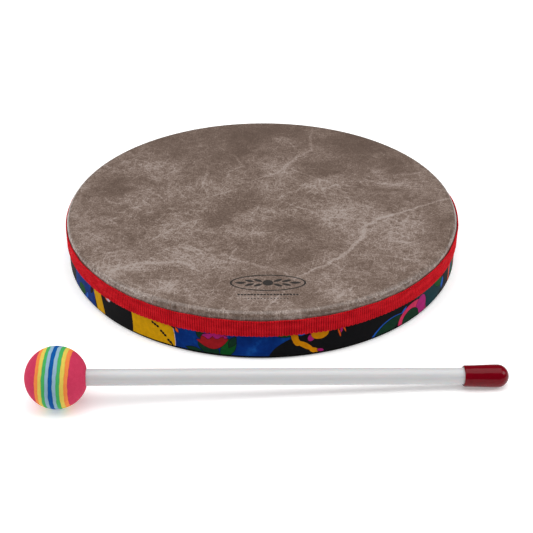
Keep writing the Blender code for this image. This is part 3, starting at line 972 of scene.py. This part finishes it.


# ---------------------------------------------------------------- the mallet


# Each foam's colour, and the darker one that paints shade into its pores and dips
FOAM_COLOURS = {
    "pink": (srgb(195, 55, 88), srgb(182, 44, 77)),
    "orange": (srgb(232, 132, 68), srgb(222, 121, 59)),
    "yellow": (srgb(216, 192, 84), srgb(205, 179, 74)),
    "green": (srgb(68, 167, 92), srgb(58, 156, 82)),
    "sky": (srgb(140, 172, 190), srgb(128, 160, 180)),
    "blue": (srgb(2, 82, 153), srgb(1, 72, 140)),
}
# The sheets on both sides of the blue one, with the distance of each one's outer face from the ball's centre
SHEETS = (("sky", 0.00305), ("green", 0.00496), ("yellow", 0.00705), ("orange", 0.0090))
MIDDLE_SHEET = 0.00115  # half the blue sheet's thickness
GROOVE = 0.00003  # half the width of the groove at a join


def sheet_edge(height, angles):
    """The wavy height of a join between two foam sheets, round the ball. It is the same for both of them."""
    random = np.random.default_rng(round(height * 1e6) % 1000 + 17)
    return height + waves(angles, (2, 3, 5, 8, 13, 21), 0.00012, random)


def make_foam_sheet(name, low, high, material):
    """One slice of the ball between two wavy joins, with slightly worn edges. The outermost near slice is
    pinched where the rod goes in."""
    wear, wear_width = 0.00006, 0.0003
    angles = sweep(256)
    ends = (low <= -BALL_RADIUS, high >= BALL_RADIUS)
    bottom = np.full_like(angles, -BALL_RADIUS) if ends[0] else sheet_edge(low, angles) + GROOVE
    top = np.full_like(angles, BALL_RADIUS) if ends[1] else sheet_edge(high, angles) - GROOVE
    bottom_angle, top_angle = np.arcsin(bottom / BALL_RADIUS), np.arcsin(top / BALL_RADIUS)
    count = 40 if any(ends) else 14
    rows = []
    for share in np.linspace(0.02 if ends[1] else 0.0, 0.98 if ends[0] else 1.0, count):
        up = top_angle + (bottom_angle - top_angle) * share
        to_join = np.full_like(angles, 1.0)
        if not ends[1]:
            to_join = np.minimum(to_join, (top_angle - up) * BALL_RADIUS)
        if not ends[0]:
            to_join = np.minimum(to_join, (up - bottom_angle) * BALL_RADIUS)
        radius = BALL_RADIUS - wear * (1 - smooth(0.0, wear_width, to_join))
        rows.append(ring_points(radius * np.cos(up), radius * np.sin(up), angles))
    points = np.array(rows)
    if ends[1]:
        points = pinched(points)
    obj = grid_object(name + "_sheet", points, FOAM, poles=(True, True), sharp=50.0)
    finish_piece(obj, material, "mallet", name)


def pinched(points):
    """The foam is drawn in a little round the rod."""
    depth, reach = 0.0005, 0.0009
    axis = np.array((FOAM.inverted() @ MALLET).to_3x3() @ Vector((0.0, 0.0, 1.0)))
    along = points @ axis
    away = np.linalg.norm(points - along[..., None] * axis, axis=-1)
    pull = depth * np.exp(-np.maximum(away - ROD_RADIUS, 0.0) / reach)
    return points - pull[..., None] * axis


def make_ball(materials):
    """The ball's eleven sheets, from the middle one outwards."""
    make_foam_sheet("foam_blue_middle", -MIDDLE_SHEET, MIDDLE_SHEET, materials["blue"])
    inner = MIDDLE_SHEET
    for colour, edge in (*SHEETS, ("pink", BALL_RADIUS)):
        make_foam_sheet(f"foam_{colour}_near", inner, edge, materials[colour])
        make_foam_sheet(f"foam_{colour}_far", -edge, -inner, materials[colour])
        inner = edge


def make_rod(material):
    end = CAP_TIP - CAP_FLOOR - GAP
    heights = np.linspace(end, ROD_START, 60)
    profile = [(ROD_RADIUS, h) for h in heights] + [(ROD_BORE, h) for h in heights[::-6]]
    obj = grid_object("rod", turned_grid(profile, sweep(96)), MALLET, ring=True)
    finish_piece(obj, material, "mallet", "mallet_shaft")


def make_cap(material):
    """The dipped cap: a rolled lip, sides that swell towards the tip, and a round end."""
    lip = CAP_TIP - CAP_LENGTH
    dome = CAP_TIP - CAP_TIP_RADIUS
    profile = arc((0.0, dome), CAP_TIP_RADIUS, 88, 0, 24)
    for share in np.linspace(0.08, 1.0, 14):
        height = dome + (lip + 0.0012 - dome) * share
        profile.append((CAP_TIP_RADIUS + (CAP_LIP_RADIUS - CAP_TIP_RADIUS) * smooth(0.0, 1.0, share), height))
    inside = ROD_RADIUS + 0.0001
    roll = (CAP_LIP_RADIUS - inside) / 2
    roll_height = 0.0010
    for t in np.radians(np.linspace(0, -180, 13))[1:]:
        profile.append((CAP_LIP_RADIUS - roll + roll * cos(t), lip + roll_height * (1 + sin(t))))
    profile += [(inside, h) for h in np.linspace(lip + 0.002, CAP_TIP - CAP_FLOOR, 6)]
    profile += [(0.002, CAP_TIP - CAP_FLOOR)]
    obj = grid_object("grip_cap", turned_grid(profile, sweep(96)), MALLET, poles=(True, True), sharp=50.0)
    finish_piece(obj, material, "mallet", "end_cap")


def paint_adhesive(name, material):
    """Gives a CAD node of adhesive, which stays as it is, a better material."""
    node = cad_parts[name]
    for slot in node.material_slots:
        slot.material = material


# ---------------------------------------------------------------- camera, light and floor


def make_camera():
    camera = bpy.data.objects.new("camera", bpy.data.cameras.new("camera"))
    bpy.context.scene.collection.objects.link(camera)
    camera.data.sensor_width = 36.0
    camera.data.lens = 81.68
    down = radians(32.138)
    roll = radians(-0.174)
    distance = 0.8213
    target = DRUM_CENTRE + Vector((0.00296, 0.0, -0.01592))
    forward = Vector((0.0, cos(down), -sin(down)))
    right = Vector((1.0, 0.0, 0.0))
    up = right.cross(forward)
    right, up = right * cos(roll) + up * sin(roll), up * cos(roll) - right * sin(roll)
    turn = Matrix((right, up, -forward)).transposed().to_4x4()
    camera.matrix_world = Matrix.Translation(target - forward * distance) @ turn
    camera.data.clip_start = 0.01
    camera.data.clip_end = 20.0
    bpy.context.scene.camera = camera


def make_softbox(name, at, aim, size, radiance):
    """A rectangular lamp of even radiance, so that its size changes its softness and its reflections."""
    light = bpy.data.lights.new(name, "AREA")
    light.shape = "RECTANGLE"
    light.size, light.size_y = size
    light.energy = radiance * pi * size[0] * size[1]
    lamp = bpy.data.objects.new(name, light)
    bpy.context.scene.collection.objects.link(lamp)
    lamp.location = at
    lamp.rotation_mode = "QUATERNION"
    lamp.rotation_quaternion = (Vector(at) - Vector(aim)).to_track_quat("Z", "Y")


def make_stage():
    floor_mesh = bpy.data.meshes.new("floor")
    reach = 12.0
    corners = [(-reach, -reach, 0), (reach, -reach, 0), (reach, reach, 0), (-reach, reach, 0)]
    floor_mesh.from_pydata(corners, [], [(0, 1, 2, 3)])
    floor = bpy.data.objects.new("floor", floor_mesh)
    bpy.context.scene.collection.objects.link(floor)
    paper = Material("light_table", Roughness=0.9, Specular_IOR_Level=0.1)
    paper.set("Base Color", (0.9, 0.9, 0.9, 1.0))
    paper.set("Emission Color", (1.0, 1.0, 1.0, 1.0))
    paper.set("Emission Strength", 0.3)
    floor_mesh.materials.append(paper.material)
    world = bpy.data.worlds.new("studio")
    world.use_nodes = True
    background = world.node_tree.nodes["Background"]
    background.inputs["Color"].default_value = (1.0, 1.0, 1.0, 1.0)
    background.inputs["Strength"].default_value = 0.12
    bpy.context.scene.world = world
    middle = (0.0, 0.0, 0.0)
    make_softbox("overhead", (0.0, -0.02, 2.3), (0.0, -0.02, 0.0), (3.8, 2.4), 2.45)
    make_softbox("left", (-2.2, -0.3, 1.35), middle, (1.3, 1.2), 4.6)
    make_softbox("right", (2.2, -0.3, 1.35), middle, (1.3, 1.2), 4.6)
    scene = bpy.context.scene
    scene.view_settings.view_transform = "Standard"
    scene.view_settings.look = "None"


def main():
    make_camera()
    make_stage()
    make_hoop(fibreboard_material())
    make_wrap(print_material())
    make_head(skin_material())
    make_tape(tape_material())
    make_mark(ink_material())
    foam = {name: foam_material(f"{name}_foam", *pair) for name, pair in FOAM_COLOURS.items()}
    make_ball(foam)
    make_rod(rod_material())
    make_cap(vinyl_material())
    glue = glue_material()
    paint_adhesive("head_adhesive", glue)
    paint_adhesive("ball_adhesive", glue)


main()
